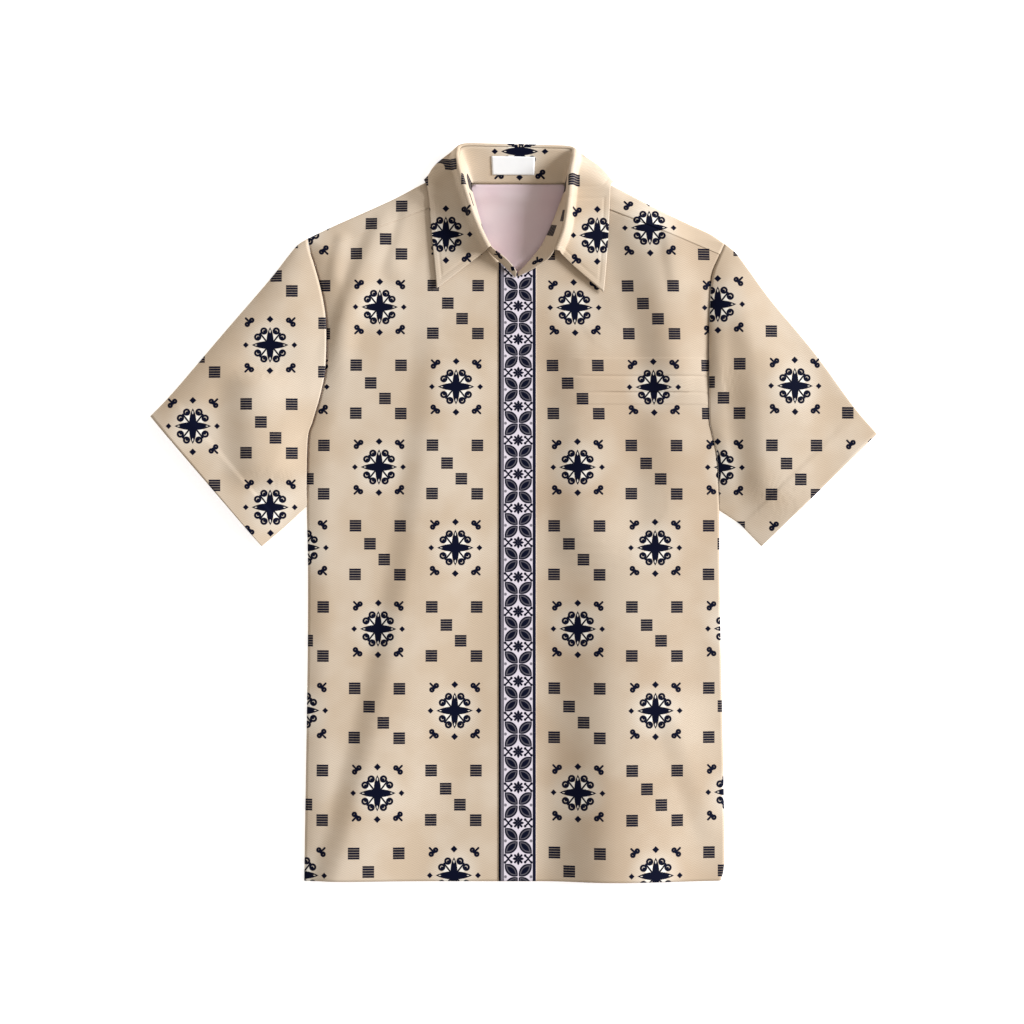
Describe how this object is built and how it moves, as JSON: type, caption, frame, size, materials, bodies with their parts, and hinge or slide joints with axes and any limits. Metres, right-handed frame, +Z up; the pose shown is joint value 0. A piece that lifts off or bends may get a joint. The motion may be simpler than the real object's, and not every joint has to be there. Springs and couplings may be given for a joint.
{
  "type": "batik shirt, short-sleeved, laid flat",
  "caption": "Short-sleeved shirt lying flat on its back, with a folded collar, a concealed placket in a contrast band, a chest pocket welt and an all-over repeat print",
  "frame": {"origin": "centre of the bounding box in plan, on the surface that the shirt lies on", "axes": "+X to the right of someone looking down at the front, the wearer's left; +Y towards the collar; +Z up, away from the surface"},
  "size_m": [0.8135, 0.8249, 0.0313],
  "materials": {
    "batik_cotton": "printed cotton sateen, soft sheen, dark blue repeat on warm beige",
    "band_cotton": "printed cotton sateen, dark blue four-petal band on near white",
    "label_tape": "blank woven satin tape"
  },
  "bodies": {
    "root": {"back": "batik_cotton", "yoke": "batik_cotton", "front_right": "batik_cotton", "front_left": "batik_cotton", "placket": "band_cotton", "pocket_welt": "batik_cotton", "sleeve_right": "batik_cotton", "sleeve_left": "batik_cotton", "collar_stand": "batik_cotton", "collar_fall": "batik_cotton", "neck_label": "label_tape"}
  },
  "joints": []
}
